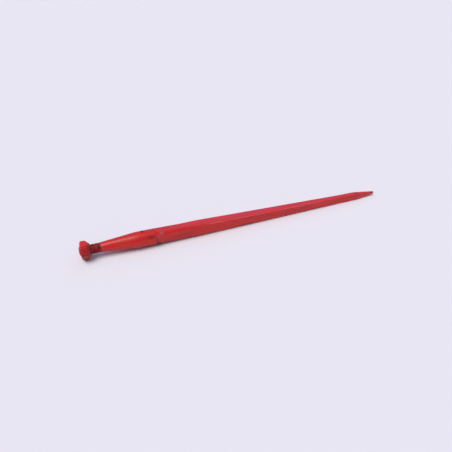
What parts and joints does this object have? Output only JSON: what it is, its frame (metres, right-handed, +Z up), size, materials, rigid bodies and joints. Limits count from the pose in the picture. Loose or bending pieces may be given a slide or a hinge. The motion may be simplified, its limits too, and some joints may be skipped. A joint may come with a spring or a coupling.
{
  "type": "bale spear",
  "caption": "Tapered square steel spear with a round conical shank, a threaded stud and a hex nut, for lifting bales.",
  "frame": {"origin": "on the ground, under the middle of the spear as it lies at rest", "axes": "+X towards the point, +Z up, +Y to the far side; the spear's own axis dips one degree towards the point"},
  "size_m": [1, 0.0542, 0.0508],
  "materials": {
    "tine_enamel": "semi-gloss red enamel over forged steel, worn dark in the thread",
    "nut_enamel": "semi-gloss red enamel over steel"
  },
  "bodies": {
    "root": {"bale_spear_tine": "tine_enamel", "hex_nut": "nut_enamel"}
  },
  "joints": []
}
